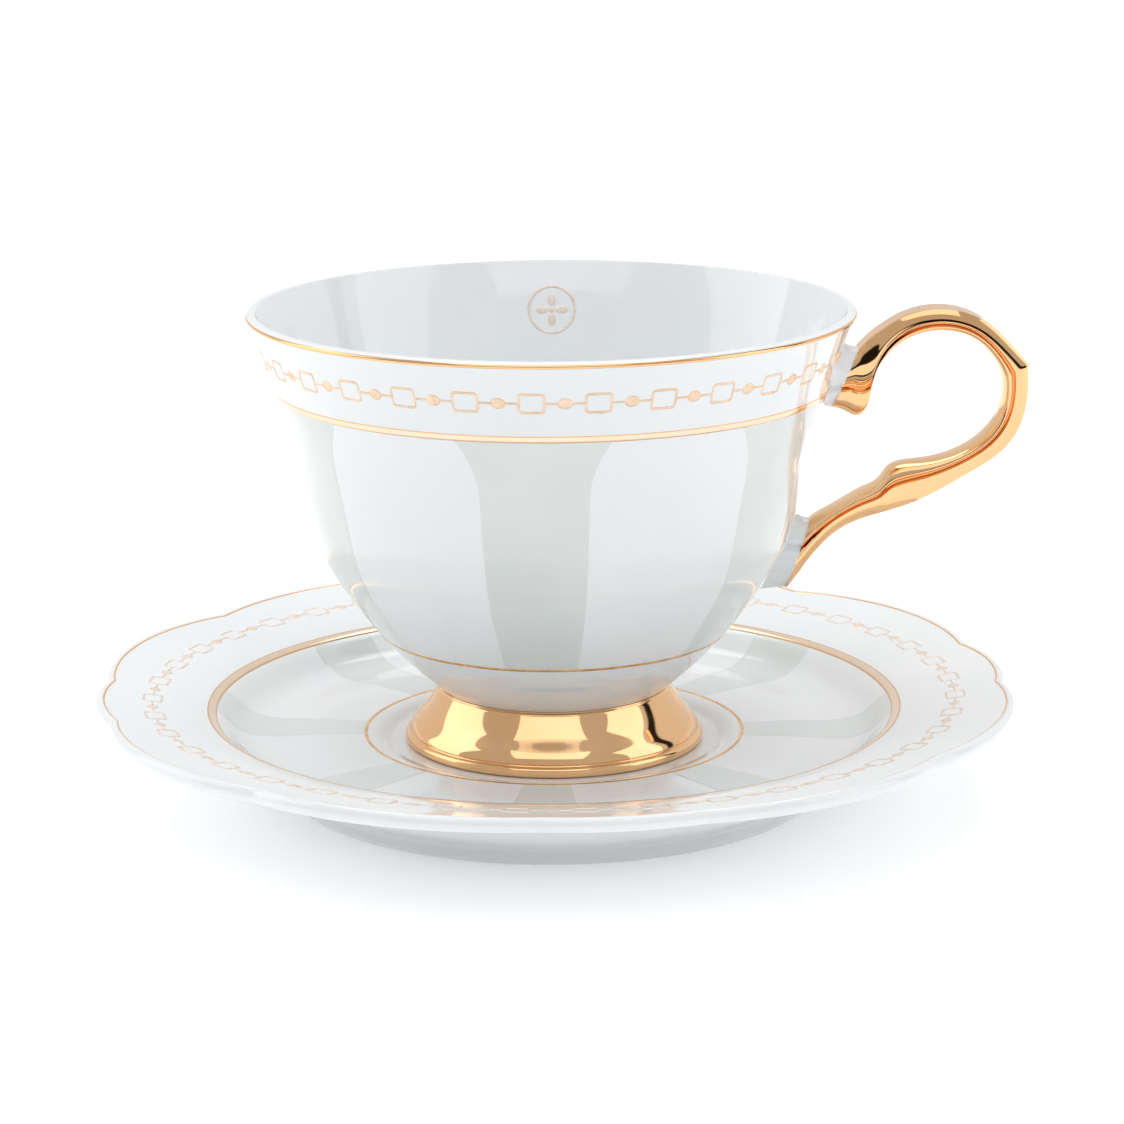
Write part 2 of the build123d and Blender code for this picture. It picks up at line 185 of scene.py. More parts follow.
def sheet_on(at, angle, value, thickness=SKIN):
    """A thin sheet on a surface: nets of angles and values, full thickness inside its softened edge."""
    angle, value = np.broadcast_arrays(angle, value)
    lift = np.full(angle.shape, thickness)
    lift[0] = lift[-1] = 0
    lift[:, 0] = lift[:, -1] = 0
    under = np.where(lift == 0, 0, SINK)
    return [grid(at(angle, value, lift)), grid(at(angle, value, under))]


def line_on(place, path, width, closed, thickness=SKIN):
    """A drawn line with a softly rounded top; place() turns flat (across, up, lift) into a point."""
    path = np.array(path, float)
    if closed:
        ahead = np.roll(path, -1, axis=0) - np.roll(path, 1, axis=0)
    else:
        ahead = np.gradient(path, axis=0)
    ahead /= np.linalg.norm(ahead, axis=1)[:, None]
    across = np.stack([ahead[:, 1], -ahead[:, 0]], axis=1)
    side = np.array([-1, -1, -0.7, 0, 0.7, 1, 1])
    lift = np.array([SINK, 0, 0.85 * thickness, thickness, 0.85 * thickness, 0, SINK])
    spots = path[:, None, :] + across[:, None, :] * side[None, :, None] * width / 2
    return grid(place(spots[..., 0], spots[..., 1], lift[None, :]), closed, True)


def button_on(place, centre, half_length, half_height, turn=0.0, thickness=SKIN):
    """A small domed oval; place() turns flat (across, up, lift) into a point."""
    out = np.array([0, 0.5, 0.8, 0.95, 1, 1, 0])[:, None]
    lift = np.array([1, 0.95, 0.75, 0.4, 0, SINK / thickness, SINK / thickness])[:, None] * thickness
    angles = np.linspace(0, 2 * pi, 28, endpoint=False)
    along = out * np.cos(angles) * half_length
    up = out * np.sin(angles) * half_height
    x = centre[0] + along * cos(turn) - up * sin(turn)
    y = centre[1] + along * sin(turn) + up * cos(turn)
    return grid(place(x, y, lift), False, True)


def rounded_box(half_length, half_height, radius, steps=5, side_steps=4):
    """The middle line of an open link."""
    arcs = []
    for number, (side_x, side_y) in enumerate(((1, 1), (-1, 1), (-1, -1), (1, -1))):
        turn = np.radians(90 * number + np.linspace(0, 90, steps))
        arcs.append(np.stack([side_x * (half_length - radius) + radius * np.cos(turn),
                              side_y * (half_height - radius) + radius * np.sin(turn)], axis=1))
    path = []
    for arc, following in zip(arcs, arcs[1:] + arcs[:1]):
        path += [arc, np.linspace(arc[-1], following[0], side_steps, endpoint=False)[1:]]
    return np.concatenate(path)


# ---------------------------------------------------------------- finishes
class Finish:
    """A Principled material whose colour, roughness and relief vary over the surface."""

    def __init__(self, name):
        self.material = bpy.data.materials.new(name)
        self.material.use_nodes = True
        self.tree = self.material.node_tree
        self.shader = self.tree.nodes["Principled BSDF"]
        self.place = self.tree.nodes.new("ShaderNodeTexCoord").outputs["Object"]

    def noise(self, scale, detail=3.0):
        node = self.tree.nodes.new("ShaderNodeTexNoise")
        node.inputs["Scale"].default_value = scale
        node.inputs["Detail"].default_value = detail
        self.tree.links.new(self.place, node.inputs["Vector"])
        return node.outputs["Fac"]

    def vary(self, source, low, high, start=0.3, stop=0.7):
        node = self.tree.nodes.new("ShaderNodeMapRange")
        self.tree.links.new(source, node.inputs["Value"])
        for socket, value in (("From Min", start), ("From Max", stop), ("To Min", low), ("To Max", high)):
            node.inputs[socket].default_value = value
        return node.outputs["Result"]

    def colour(self, source, first, second, start=0.35, stop=0.65):
        node = self.tree.nodes.new("ShaderNodeValToRGB")
        ends = node.color_ramp.elements
        ends[0].position, ends[1].position = start, stop
        ends[0].color, ends[1].color = (*first, 1), (*second, 1)
        self.tree.links.new(source, node.inputs["Fac"])
        self.tree.links.new(node.outputs["Color"], self.shader.inputs["Base Color"])

    def relief(self, source, strength, depth):
        node = self.tree.nodes.new("ShaderNodeBump")
        node.inputs["Strength"].default_value = strength
        node.inputs["Distance"].default_value = depth
        self.tree.links.new(source, node.inputs["Height"])
        self.tree.links.new(node.outputs["Normal"], self.shader.inputs["Normal"])

    def set(self, **values):
        for socket, value in values.items():
            self.shader.inputs[socket.replace("_", " ")].default_value = value

    def rough(self, source):
        self.tree.links.new(source, self.shader.inputs["Roughness"])


def porcelain_finish():
    """Fired white china under a clear glaze: faint cloudiness, a barely wavy surface."""
    china = Finish("porcelain")
    china.colour(china.noise(38), (0.815, 0.843, 0.860), (0.845, 0.868, 0.880))
    china.rough(china.vary(china.noise(160), 0.055, 0.11))
    china.relief(china.noise(90, 1.0), 0.10, 0.00006)
    china.set(IOR=1.5, Coat_Weight=0.5, Coat_Roughness=0.03)
    return china.material


def gold_finish():
    """Burnished liquid gold: a mirror with a slightly uneven tone and a brushed-on waviness."""
    gold = Finish("gold_lustre")
    gold.colour(gold.noise(55), (0.87, 0.505, 0.245), (0.92, 0.58, 0.305))
    gold.rough(gold.vary(gold.noise(420), 0.03, 0.075))
    gold.relief(gold.noise(130, 1.0), 0.16, 0.00008)
    gold.set(Metallic=1.0)
    return gold.material


def line_finish():
    """Brushed-on gold lines: the same gold, thinner and a little more satin."""
    gold = Finish("gold_line")
    gold.colour(gold.noise(300), (0.66, 0.36, 0.13), (0.86, 0.55, 0.27))
    gold.rough(gold.vary(gold.noise(900), 0.14, 0.30))
    gold.relief(gold.noise(1200, 2.0), 0.25, 0.00003)
    gold.set(Metallic=1.0)
    return gold.material


def transfer_finish(name, first, second, metal):
    """The chain borders' printed gold, with its fine grain."""
    gold = Finish(name)
    gold.colour(gold.noise(500), first, second)
    gold.rough(gold.vary(gold.noise(1500), 0.25, 0.45))
    gold.relief(gold.noise(2200, 2.0), 0.1, 0.00002)
    gold.set(Metallic=metal)
    return gold.material


def gold_band_painted_reflection(name, along, low, high):
    """A wide gold band: a painted reflection makes it pale in the middle, with a darker burnished line along
    each side.
    """
    gold = Finish(name)
    part = gold.vary(along(gold), 0.0, 1.0, low * MM, high * MM)
    node = gold.tree.nodes.new("ShaderNodeValToRGB")
    stops = node.color_ramp.elements
    stops[0].position, stops[0].color = 0.0, (0.70, 0.42, 0.20, 1)
    stops[1].position, stops[1].color = 1.0, (0.66, 0.36, 0.14, 1)
    # The pale stops in the middle are a painted reflection of the lights in the band's top.
    for position, shade in ((0.10, (0.72, 0.45, 0.23, 1)), (0.20, (0.88, 0.68, 0.51, 1)),
                            (0.80, (0.89, 0.69, 0.52, 1)), (0.90, (0.70, 0.44, 0.22, 1))):
        stops.new(position).color = shade
    gold.tree.links.new(part, node.inputs["Fac"])
    gold.tree.links.new(node.outputs["Color"], gold.shader.inputs["Base Color"])
    gold.rough(gold.vary(gold.noise(900), 0.08, 0.20))
    gold.relief(gold.noise(1200, 2.0), 0.2, 0.00003)
    gold.set(Metallic=0.9)
    return gold.material


def by_height(finish):
    """Height over the table."""
    node = finish.tree.nodes.new("ShaderNodeSeparateXYZ")
    finish.tree.links.new(finish.place, node.inputs["Vector"])
    return node.outputs["Z"]


def by_radius(finish):
    """Distance from the axis."""
    flat = finish.tree.nodes.new("ShaderNodeVectorMath")
    flat.operation = "MULTIPLY"
    flat.inputs[1].default_value = (1, 1, 0)
    finish.tree.links.new(finish.place, flat.inputs[0])
    node = finish.tree.nodes.new("ShaderNodeVectorMath")
    node.operation = "LENGTH"
    finish.tree.links.new(flat.outputs["Vector"], node.inputs[0])
    return node.outputs["Value"]


def panel_finish():
    """The pale grey-green panels: tinted glaze with a pearly depth."""
    glaze = Finish("tinted_glaze")
    glaze.colour(glaze.noise(70), (0.69, 0.735, 0.722), (0.725, 0.768, 0.755))
    glaze.rough(glaze.vary(glaze.noise(300), 0.07, 0.14))
    glaze.relief(glaze.noise(110, 1.0), 0.10, 0.00006)
    glaze.set(IOR=1.5, Coat_Weight=0.6, Coat_Roughness=0.04)
    return glaze.material


PORCELAIN = porcelain_finish()
GOLD = gold_finish()
GOLD_LINE = line_finish()
TRANSFER = transfer_finish("matt_gold_transfer", (0.78, 0.56, 0.39), (0.87, 0.68, 0.51), 0.55)
PALE_TRANSFER = transfer_finish("matt_gold_transfer_pale", (0.78, 0.66, 0.55), (0.85, 0.75, 0.66), 0.35)
PANEL = panel_finish()

# ---------------------------------------------------------------- the cup's bowl
LIP_WALL = 1.7             # thickness of the wall just below the lip
LIP_DEPTH = 0.8            # height of the lip's rounding
BOWL_FLOOR = 22.2
bowl_wall = smooth(
    [(NECK_RADIUS, NECK_HEIGHT), (25.2, 22.9), (29.0, 27.1), (33.5, 33.0), (38.4, 41.0), (41.1, 50.5),
     (43.6, 61.3), (45.5, 68.0), (47.4, 74.2), (RIM_RADIUS - 0.13, CUP_TOP - LIP_DEPTH)],
    14, start=(1, 0.85), end=(0.55, 1),
)
wall_at = surface_of(bowl_wall, 1, 1)


def wall_radius(height):
    """Radius of the bowl's outside at a height."""
    return float(np.interp(height, bowl_wall[:, 1], bowl_wall[:, 0]))


def inside_wall(height, thickness):
    """A point on the inside of the bowl, behind a point of its outside."""
    point = wall_at(0.0, height, -thickness)
    return (float(point[0]), float(point[2]))


WALL_INSIDE = ((30.0, 3.2), (35.0, 2.7), (44.0, 2.3), (56.0, 2.3), (67.0, 2.3))  # height, thickness
inner_points = [(0, BOWL_FLOOR), (15.0, 23.3)]
inner_points += [inside_wall(height, thickness) for height, thickness in WALL_INSIDE]
inner_points += [inside_wall(CUP_TOP - LIP_DEPTH, LIP_WALL)]
inner_wall = smooth(inner_points, 14, start=(1, 0), end=(0.55, 1))
inside_at = surface_of(inner_wall, 1, -1)

lip_middle = (bowl_wall[-1] + inner_wall[-1]) / 2
lip_reach = (bowl_wall[-1] - inner_wall[-1]) / 2
lip_up = np.array([-lip_reach[1], lip_reach[0]]) * (CUP_TOP - lip_middle[1]) / lip_reach[0]
lip_turns = np.linspace(0, pi, 13)[1:-1, None]
lip = lip_middle + lip_reach * np.cos(lip_turns) + lip_up * np.sin(lip_turns)
lip[:, 1] = np.minimum(lip[:, 1], CUP_TOP)
neck = smooth([(0, NECK_HEIGHT + 0.1), (NECK_RADIUS - 0.3, NECK_HEIGHT + 0.1)], 6)
bowl_profile = np.concatenate([neck, bowl_wall, lip, inner_wall[::-1]])
make("bowl_china", [turned(bowl_profile)], "cup", "cup_bowl", PORCELAIN)

# ---------------------------------------------------------------- the cup's foot
cove = smooth([(NECK_RADIUS - 0.1, NECK_HEIGHT), (19.32, 17.28), (19.4, 16.95), (19.52, 16.72)], 5)
flare = smooth([(19.56, 16.66), (20.5, 15.1), (21.6, 13.5), (22.95, 11.9), (23.8, 10.75), (24.12, 9.98)], 12)
groove = smooth([(24.12, 9.98), (24.02, 9.76), (24.14, 9.56)], 5)
bead = smooth(
    [(24.14, 9.56), (24.62, 9.34), (FOOT_RADIUS - 0.03, 8.85), (FOOT_RADIUS - 0.03, 8.4), (24.65, 7.98),
     (24.2, FOOT_REST)], 6)
hollow = smooth([(22.0, FOOT_REST), (21.3, 8.3), (19.0, 11.6), (17.0, 14.2), (12.0, 15.2), (0, 15.25)], 8)
crown = np.array([(0, NECK_HEIGHT), (NECK_RADIUS - 0.5, NECK_HEIGHT)])
foot_profile = np.concatenate([crown, cove, flare, groove[1:], bead[1:], hollow])
make("foot_gilt", [turned(foot_profile)], "cup", "cup_foot", GOLD, sharp=40)

# ---------------------------------------------------------------- the handle
# Pairs of points, one on the handle's outer outline and one on its inner outline, from root to root.
HANDLE_OUTER = [
    (50.0, 73.6), (51.2, 74.9), (52.1, 75.75), (52.9, 76.4), (53.9, 77.1), (55.4, 78.1), (58.4, 79.5),
    (63.5, 80.3), (69.8, 78.6), (74.4, 74.8), (77.75, 71.0), (77.75, 66.5), (77.0, 62.0), (74.6, 57.6),
    (68.6, 53.1),
    (62.0, 49.3), (58.4, 47.7), (56.2, 47.0), (54.0, 46.35), (51.4, 45.6), (48.7, 44.5), (46.2, 42.9),
    (44.0, 40.8), (42.1, 38.5), (40.2, 35.75), (38.5, 33.55),
]
HANDLE_INNER = [
    (45.7, 63.8), (47.6, 63.35), (49.9, 62.4), (50.95, 62.75), (51.7, 65.1), (52.3, 68.3), (55.3, 73.2),
    (62.8, 76.4), (69.2, 74.8), (72.0, 72.0), (73.6, 68.8), (73.75, 66.0), (72.7, 62.1), (70.6, 59.3),
    (66.2, 56.4),
    (60.3, 54.9), (57.1, 54.5), (55.2, 53.6), (53.6, 51.5), (50.9, 50.0), (48.6, 48.7), (46.7, 47.55),
    (45.0, 46.6), (43.9, 46.0), (43.0, 45.45), (42.4, 45.0),
]
HANDLE_CORNER = 10         # the pair at the handle's pointed outer corner
HANDLE_STEPS = 9
BAR_THICKNESS = 4.1        # the bar's usual thickness, for which the section is drawn


def half_section(across):
    """Half of the bar's section: (distance from the outer side, part of the half width), for a thickness."""
    scale = across / BAR_THICKNESS
    valley = 0.79 - 0.14 * min(1.0, max(0.0, (across - 4.6) / 5.0))
    outer = [(0.0, 0.0), (0.0, 0.35), (0.0, 0.62), (0.07, 0.79), (0.6, 0.885), (1.05, 0.94), (1.55, 0.98),
             (2.05, 1.0), (2.3, 0.96), (2.45, valley)]
    inner = [(1.5, valley), (1.3, 0.965), (1.05, 1.0), (0.7, 0.955), (0.38, 0.81), (0.12, 0.52),
             (0.0, 0.25), (0.0, 0.0)]
    points = [(d * scale, w) for d, w in outer] + [(across - d * scale, w) for d, w in inner]
    return cornered(points, 3, (3,))


def bar(outer, inner, half_width, grow=0.0, soften=0.0):
    """Points round the bar's section between two points of its outline; soften turns it oval."""
    reach_across = np.linalg.norm(inner - outer)
    direction = (inner - outer) / reach_across
    half = half_section(reach_across)
    oval = np.sqrt(np.clip(1 - (2 * half[:, 0] / reach_across - 1) ** 2, 0, 1))
    width = half_width * (1 + grow) * (half[:, 1] * (1 - soften) + oval * soften)
    spots = outer + half[:, :1] * direction
    front = np.stack([spots[:, 0], -width, spots[:, 1]], axis=1)
    back = np.stack([spots[:, 0], width, spots[:, 1]], axis=1)[1:-1][::-1]
    return np.concatenate([front, back])


def cap(ring):
    """A fan that closes an end."""
    middle = ring.mean(axis=0, keepdims=True)
    return grid(np.stack([ring, np.repeat(middle, len(ring), axis=0)]), False, True)


outer_line = cornered(HANDLE_OUTER, HANDLE_STEPS, (HANDLE_CORNER,))
inner_line = smooth(HANDLE_INNER, HANDLE_STEPS)
rings = np.stack([bar(a, b, HANDLE_HALF_WIDTH) for a, b in zip(outer_line, inner_line)])
make("handle_gilt", [grid(rings, False, True), cap(rings[0]), cap(rings[-1])],
     "cup", "handle", GOLD, sharp=32)


COLLAR_SINK = 0.7          # how far the collars run into the bowl's wall
COLLAR_STEPS = 14


def collar(name, node, root_outer, root_inner, spread_outer, spread_inner):
    """White china that runs from a root of the handle into the bowl's wall, with a flared foot."""
    ends = []
    for root, spread in ((root_outer, spread_outer), (root_inner, spread_inner)):
        height = root[1] + spread
        ends.append((np.array(root), np.array([wall_radius(height) - COLLAR_SINK, height])))
    rows = []
    for step in np.linspace(0, 1, COLLAR_STEPS):
        flare_out = 1 - np.sqrt(1 - (0.97 * step) ** 2)
        outer, inner = (
            np.array([root[0] + (wall[0] - root[0]) * step, root[1] + (wall[1] - root[1]) * flare_out])
            for root, wall in ends
        )
        rows.append(bar(outer, inner, HANDLE_HALF_WIDTH, 0.02 + 0.30 * flare_out, 0.5 + 0.4 * flare_out))
    rows = np.stack(rows)
    make(name, [grid(rows, False, True), cap(rows[0]), cap(rows[-1])], "cup", node, PORCELAIN)


collar("upper_collar_china", "handle_upper_collar", HANDLE_OUTER[0], HANDLE_INNER[0], 2.0, -2.6)
collar("lower_collar_china", "handle_lower_collar", HANDLE_OUTER[-1], HANDLE_INNER[-1], -2.0, 2.4)


# ---------------------------------------------------------------- gilding and transfers on the cup
def ring_on(at, low, high, edge=0.14, thickness=SKIN):
    """A gold line all round a turned surface, between two heights or radii."""
    across = np.array([low, low, low + edge, (low + high) / 2, high - edge, high, high])
    lift = np.array([SINK, 0, 0.9 * thickness, thickness, 0.9 * thickness, 0, SINK])
    section = at(0.0, across, lift)
    return turned(section[:, (0, 2)], True)


# Each line is given by where it starts and ends, as heights over the table.
RIM_LINE = (79.62, 80.25)
UPPER_BAND = (67.4, 68.5)
LOWER_LINE = (26.8, 27.3)
BAND_EDGE = 0.2
CUP_CHAIN_HEIGHT = 73.9
CUP_CHAIN_COUNT = 29
CUP_DECOR_TURN = -93.6     # direction, in degrees, of the first link and the first panel
LINK_LENGTH = 4.3
LINK_HEIGHT = 3.4
LINK_LINE = 0.42
LINK_CORNER = 0.5
BEAD_LENGTH = 2.4
BEAD_HEIGHT = 1.8
JOINING_LINE = 0.34
JOINT_OVERLAP = 0.1        # how far a joining line reaches into the link

rim_at = surface_of(np.concatenate([bowl_wall, lip[:6]]), 1, 1)
make("rim_gilt", [ring_on(rim_at, *RIM_LINE, 0.16, 0.06)], "cup", "rim_gilding", GOLD)
make("upper_band_gilt", [ring_on(wall_at, *UPPER_BAND, BAND_EDGE)], "cup", "cup_upper_band",
     gold_band_painted_reflection("gold_line_cup_band", by_height, *UPPER_BAND))
make("lower_line_gilt", [ring_on(wall_at, *LOWER_LINE)], "cup", "cup_lower_line", GOLD_LINE)


def chain(at, count, first, value, radius):
    """The links, and the beads with their joining lines, of a chain border."""
    pitch = 360.0 / count
    per_mm = 180.0 / (pi * radius)
    links, beads = [], []
    for number in range(count):
        def place(across, up, lift, angle=first + number * pitch):
            return at(angle + across * per_mm, value + up, lift)

        def between(across, up, lift, angle=first + (number + 0.5) * pitch):
            return at(angle + across * per_mm, value + up, lift)

        box = rounded_box((LINK_LENGTH - LINK_LINE) / 2, (LINK_HEIGHT - LINK_LINE) / 2, LINK_CORNER)
        links.append(line_on(place, box, LINK_LINE, True))
        half_gap = pitch / per_mm / 2 - LINK_LENGTH / 2 + JOINT_OVERLAP
        bead_side = 0.45 * BEAD_LENGTH
        for side in (-1, 1):
            joint = [(side * (bead_side + (half_gap - bead_side) * step / 3), 0) for step in range(4)]
            beads.append(line_on(between, joint, JOINING_LINE, False))
        beads.append(button_on(between, (0, 0), BEAD_LENGTH / 2, BEAD_HEIGHT / 2, thickness=1.3 * SKIN))
    return links, beads


chain_radius = wall_radius(CUP_CHAIN_HEIGHT)
cup_links, cup_beads = chain(wall_at, CUP_CHAIN_COUNT, CUP_DECOR_TURN, CUP_CHAIN_HEIGHT, chain_radius)
make("cup_links_transfer", cup_links, "cup", "cup_chain_links", TRANSFER)
make("cup_beads_transfer", cup_beads, "cup", "cup_chain_beads", TRANSFER)

PANEL_LOW, PANEL_HIGH = 27.33, 67.37
PANEL_LOW_EDGE, PANEL_HIGH_EDGE = 0.25, 0.27    # widths of the softened edges
PANEL_COUNT = 6
PANEL_ANGLE = 23.0         # degrees a panel spans, over most of its height
PANEL_TOP_ANGLE = 31.0     # and at its top
FLARE_START = 58.4
FLARE_HEIGHT = 9.0
panel_heights = np.concatenate([
    [PANEL_LOW, PANEL_LOW + PANEL_LOW_EDGE],
    np.linspace(28.5, 66.3, 34),
    [PANEL_HIGH - PANEL_HIGH_EDGE, PANEL_HIGH],
])[:, None]
panel_across = np.concatenate([[-1, -0.97], np.linspace(-0.9, 0.9, 13), [0.97, 1]])[None, :]
spread = np.clip((panel_heights - FLARE_START) / FLARE_HEIGHT, 0, 1) ** 2
panel_half = (PANEL_ANGLE + (PANEL_TOP_ANGLE - PANEL_ANGLE) * spread) / 2
panels = []
for number in range(PANEL_COUNT):
    middle = CUP_DECOR_TURN + 360.0 / PANEL_COUNT * number
    panels += sheet_on(wall_at, middle + panel_half * panel_across, panel_heights, GLAZE_SKIN)
make("cup_panels_glaze", panels, "cup", "cup_stripes", PANEL)

MOTIF_HEIGHT = 72.4
MOTIF_ANGLE = 90.0
MOTIF_RADIUS = 4.3
MOTIF_LINE = 0.5
MOTIF_SQUASH = 0.96        # the ornament's height against its width
PETAL_DISTANCE = 1.75
motif_distance = float(np.interp(MOTIF_HEIGHT, inner_wall[:, 1], inner_wall[:, 0]))


def motif_place(across, up, lift):
    """A point of the small ornament inside the bowl."""
    angle = MOTIF_ANGLE + across * 180.0 / (pi * motif_distance)
    return inside_at(angle, MOTIF_HEIGHT + up * MOTIF_SQUASH, lift)


turns = np.linspace(0, 2 * pi, 72, endpoint=False)
circle = np.stack([np.cos(turns), np.sin(turns)], axis=1) * (MOTIF_RADIUS - MOTIF_LINE / 2)
motif = [line_on(motif_place, circle, MOTIF_LINE, True)]
motif += [button_on(motif_place, (0, 0), 0.55, 0.55)]
for quarter in range(4):
    turn = quarter * pi / 2
    petal = (PETAL_DISTANCE * cos(turn), PETAL_DISTANCE * sin(turn))
    motif.append(button_on(motif_place, petal, 1.15, 0.68, turn))
make("inner_motif_transfer", motif, "cup", "cup_inner_motif", PALE_TRANSFER)

# ---------------------------------------------------------------- the saucer
SMALL_LOBE, LARGE_LOBE, NOTCH = 76.2, 77.3, 75.1    # radii of the edge
SMALL_LOBE_ANGLE = 19.0
LOBE_TURN = 8.0
FOOT_RING = 45.0
FOOT_RING_WIDTH = 3.4
UNDER_WELL = 4.2           # height of the underside inside the foot ring


def rim_radius(angles):
    """Radius of the saucer's lobed edge in some directions."""
    large = (90.0 - SMALL_LOBE_ANGLE) / 2
    turn = (angles - LOBE_TURN + SMALL_LOBE_ANGLE / 2) % 90.0
    in_small = turn < SMALL_LOBE_ANGLE
    rise = np.where(in_small, SMALL_LOBE, LARGE_LOBE) - NOTCH
    across = np.where(in_small, turn / SMALL_LOBE_ANGLE, ((turn - SMALL_LOBE_ANGLE) % large) / large)
    return NOTCH + rise * np.sin(pi * across) ** 0.8


saucer_top = smooth(
    [(27.0, FOOT_REST), (28.6, 8.4), (30.4, 8.95), (33.0, 9.05), (42.0, 9.1), (49.0, 9.2), (52.6, 10.5),
     (56.0, 13.4), (58.4, 14.4), (66.8, 16.1), (72.0, 16.9), (80.0, 18.5)],
    10, start=(1, 0), end=(1, 0.2),
)
top_at = surface_of(saucer_top, 0, -1)
saucer_under = smooth([(FOOT_RING + 0.3, 2.6), (52.0, 6.4), (60.0, 11.2), (68.0, 13.9), (80.0, 16.0)], 8)
SAUCER_STEPS = 480
saucer_angles = np.arange(SAUCER_STEPS) * 360.0 / SAUCER_STEPS
edge_radius = rim_radius(saucer_angles)


def saucer_row(radius, height):
    """One ring of the saucer: radii and heights in each direction."""
    turn = np.radians(saucer_angles)
    radius = radius + 0 * turn
    return np.stack([radius * np.cos(turn), radius * np.sin(turn), height + 0 * turn], axis=-1)


def top_height(radius):
    """Height of the saucer's top at a radius."""
    return np.interp(radius, saucer_top[:, 0], saucer_top[:, 1])


def under_height(radius):
    """Height of the saucer's underside at a radius."""
    return np.interp(radius, saucer_under[:, 0], saucer_under[:, 1])


FLANGE_START = 60.0
EDGE_ROUNDING = [(1.5, 0.0), (1.05, 0.02), (0.7, 0.1), (0.38, 0.3), (0.14, 0.62), (0.02, 1.0), (0.0, 1.25)]
rows = [saucer_row(0.0, FOOT_REST), saucer_row(14.0, FOOT_REST)]
rows += [saucer_row(r, z) for r, z in saucer_top if r <= FLANGE_START]
for part_way in np.linspace(0.05, 1, 22):
    radius = FLANGE_START + (edge_radius - EDGE_ROUNDING[0][0] - FLANGE_START) * part_way
    rows.append(saucer_row(radius, top_height(radius)))
edge_top = top_height(edge_radius)
for inset, drop in EDGE_ROUNDING[1:]:
    rows.append(saucer_row(edge_radius - inset, edge_top - drop))
for inset, climb in ((0.1, 0.35), (0.35, 0.12), (0.8, 0.0)):
    rows.append(saucer_row(edge_radius - inset, under_height(edge_radius - inset) + climb))
for part_way in np.linspace(0.95, 0.0, 16):
    radius = FLANGE_START + (edge_radius - 0.8 - FLANGE_START) * part_way
    rows.append(saucer_row(radius, under_height(radius)))
rows += [saucer_row(r, z) for r, z in saucer_under[::-1] if r < FLANGE_START - 0.5]
ring_out, ring_in = FOOT_RING, FOOT_RING - FOOT_RING_WIDTH
ring_profile = smooth([(ring_out + 0.1, 2.0), (ring_out, 0.7), (ring_out - 0.5, 0.0)], 4).tolist()
ring_profile += smooth(
    [(ring_in + 0.6, 0.0), (ring_in, 0.7), (ring_in - 0.5, 2.8), (ring_in - 1.8, 4.1)], 5).tolist()
rows += [saucer_row(r, z) for r, z in ring_profile]
rows += [saucer_row(radius, UNDER_WELL) for radius in (30.0, 15.0, 0.0)]
make("saucer_china", [grid(np.stack(rows), False, True)], "saucer", "saucer", PORCELAIN)

# Each ring is given by its inner and outer radius.
INNER_RING = (31.2, 31.8)
WIDE_BAND = (56.2, 57.8)
make("inner_ring_gilt", [ring_on(top_at, *INNER_RING)], "saucer", "saucer_inner_ring",
     GOLD_LINE)
make("wide_band_gilt", [ring_on(top_at, *WIDE_BAND, BAND_EDGE)], "saucer", "saucer_wide_band",
     gold_band_painted_reflection("gold_line_saucer_band", by_radius, *WIDE_BAND))

# Section of the gold line on the edge: distance in from the edge, and lift off the china.
EDGE_LINE = (
    (1.65, SINK), (1.65, 0.0), (1.45, 0.9 * SKIN), (1.15, SKIN), (0.85, 0.9 * SKIN), (0.7, 0.0), (0.7, SINK),
)
outline = np.array(EDGE_ROUNDING)[::-1]
edge_line = []
for inset, lift in EDGE_LINE:
    radius = edge_radius - inset
    drop = np.interp(inset, outline[:, 0], outline[:, 1])
    edge_line.append(saucer_row(radius, top_height(radius) - drop + lift))
make("edge_gilt", [grid(np.stack(edge_line), True, True)], "saucer", "saucer_rim_gilding", GOLD)

SAUCER_CHAIN_RADIUS = 66.8
SAUCER_CHAIN_COUNT = 40
SAUCER_CHAIN_TURN = 4.2
saucer_links, saucer_beads = chain(
    top_at, SAUCER_CHAIN_COUNT, SAUCER_CHAIN_TURN, SAUCER_CHAIN_RADIUS, SAUCER_CHAIN_RADIUS)
make("saucer_links_transfer", saucer_links, "saucer", "saucer_chain_links",
     PALE_TRANSFER)
make("saucer_beads_transfer", saucer_beads, "saucer", "saucer_chain_beads",
     PALE_TRANSFER)

STRIPE_COUNT = 8
STRIPE_TURN = -92.0        # direction of the first stripe
STRIPE_HALF_ANGLE = 6.75
stripe_radii = np.concatenate([[31.83, 32.1], np.linspace(32.8, 55.2, 36), [55.9, 56.17]])[:, None]
stripes = []
for number in range(STRIPE_COUNT):
    middle = STRIPE_TURN + 360.0 / STRIPE_COUNT * number
    stripes += sheet_on(top_at, middle + STRIPE_HALF_ANGLE * panel_across, stripe_radii, GLAZE_SKIN)
make("saucer_panels_glaze", stripes, "saucer", "saucer_stripes", PANEL)


